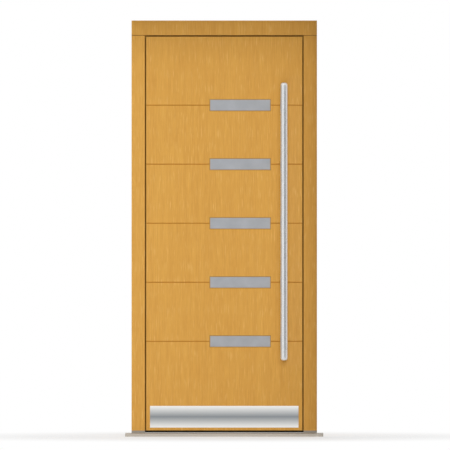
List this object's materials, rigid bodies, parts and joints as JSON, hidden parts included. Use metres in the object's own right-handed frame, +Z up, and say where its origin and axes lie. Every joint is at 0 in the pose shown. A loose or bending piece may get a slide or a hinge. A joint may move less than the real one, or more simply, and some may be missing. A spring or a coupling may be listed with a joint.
{
  "type": "panelled front door",
  "caption": "Flush oak front door with horizontal grooves and slot-shaped frosted lights, a tall pull bar and a kick plate, hung in its own frame on a sill.",
  "frame": {"origin": "middle of the sill's underside in the plane of the frame's outer face", "axes": "+Z up, +X to the right as seen from outside, +Y inwards; the outer face of the frame lies in the plane Y = 0"},
  "size_m": [1.068, 0.2204, 2.244],
  "materials": {
    "oak": "oiled oak veneer, satin",
    "oak_carcass": "planed laminated timber",
    "core_board": "pressed wood-fibre board",
    "frosted_glass": "satin, etched on its outer face",
    "clear_glass": "clear float",
    "spacer": "warm-edge spacer",
    "glazing_seal": "dark brown silicone",
    "seal_rubber": "dark brown gasket",
    "kick_steel": "brushed along its length",
    "bar_steel": "satin",
    "hinge_steel": "satin",
    "lock_steel": "satin",
    "case_steel": "zinc plated",
    "screw_steel": "plain",
    "cylinder_nickel": "satin nickel",
    "snib_plastic": "black moulded",
    "sill_aluminium": "bronze-beige anodised",
    "sill_cap": "moulded",
    "threshold_plastic": "dark moulded",
    "threshold_aluminium": "anodised",
    "foot_pad": "grey moulded"
  },
  "bodies": {
    "frame": {"door_sill": "sill_aluminium", "sill_end_caps": "sill_cap", "threshold_base": "threshold_plastic", "threshold_outer_rail": "threshold_aluminium", "threshold_inner_rail": "threshold_aluminium", "jamb_foot_pads": "foot_pad", "threshold_seal": "seal_rubber", "hinge_jamb_outer": "oak", "hinge_jamb_inner": "oak", "lock_jamb_outer": "oak", "lock_jamb_inner": "oak", "head_outer": "oak", "head_inner": "oak", "gasket_head": "seal_rubber", "gasket_hinge_side": "seal_rubber", "gasket_lock_side": "seal_rubber", "main_keep": "lock_steel", "bolt_keeps": "lock_steel", "frame_screws": "screw_steel", "frame_plate_screws": "screw_steel", "hinge_frame_plates": "hinge_steel", "hinge_pins": "hinge_steel"},
    "leaf": {"outer_facing": "oak", "inner_facing": "oak", "hinge_stile": "oak_carcass", "lock_stile": "oak_carcass", "top_rail": "oak_carcass", "bottom_rail": "oak_carcass", "light_mullions": "oak_carcass", "light_trimmers": "oak_carcass", "leaf_lippings": "oak", "insulation_core": "core_board", "outer_panes": "frosted_glass", "glass_spacers": "spacer", "inner_panes": "clear_glass", "glazing_seals": "glazing_seal", "glazing_beads": "oak", "kick_plate": "kick_steel", "pull_bar": "bar_steel", "bar_end_caps": "bar_steel", "bar_posts": "bar_steel", "bar_bolts": "screw_steel", "bar_bolt_caps": "bar_steel", "hinge_leaf_plates": "hinge_steel", "leaf_plate_screws": "screw_steel", "lock_faceplate": "lock_steel", "lock_case": "case_steel", "bolt_boxes": "case_steel", "handle_roses": "bar_steel", "lock_cylinder": "cylinder_nickel"},
    "lever": {"lever_handle": "bar_steel", "spindle": "case_steel", "spindle_follower": "case_steel"},
    "latch": {"latch_bolt": "cylinder_nickel"},
    "snib": {"latch_snib": "snib_plastic"},
    "thumbturn": {"thumbturn_knob": "bar_steel", "cylinder_cam": "case_steel"},
    "bolts": {"deadbolt": "cylinder_nickel", "end_bolts": "cylinder_nickel"},
    "drive": {"drive_strip": "case_steel"}
  },
  "joints": [
    {"name": "leaf_swing", "type": "hinge", "parent": "frame", "child": "leaf", "pos_m": [-0.4465, 0.0855, 1.095], "axis": [0, 0, 1], "range_deg": [0, 100]},
    {"name": "lever_turn", "type": "hinge", "parent": "leaf", "child": "lever", "pos_m": [0.38, 0.1, 1.05], "axis": [0, -1, 0], "range_deg": [0, 40], "stiffness_Nm_per_rad": 1.5, "springref_deg": -28.65},
    {"name": "latch_slide", "type": "slide", "parent": "leaf", "child": "latch", "axis": [1, 0, 0], "range_m": [0, 0.012]},
    {"name": "snib_slide", "type": "slide", "parent": "leaf", "child": "snib", "axis": [0, 0, 1], "range_m": [0, 0.005]},
    {"name": "thumb_turn", "type": "hinge", "parent": "leaf", "child": "thumbturn", "pos_m": [0.38, 0.095, 0.958], "axis": [0, 1, 0], "range_deg": [0, 360]},
    {"name": "bolt_throw", "type": "slide", "parent": "leaf", "child": "bolts", "axis": [1, 0, 0], "range_m": [0, 0.02]},
    {"name": "drive_slide", "type": "slide", "parent": "leaf", "child": "drive", "axis": [0, 0, 1], "range_m": [0, 0.02]}
  ],
  "couplings": [
    {"joint": "bolt_throw", "follows": "drive_slide", "ratio": 1},
    {"joint": "thumb_turn", "follows": "drive_slide", "rad_per_m": 314.15}
  ]
}
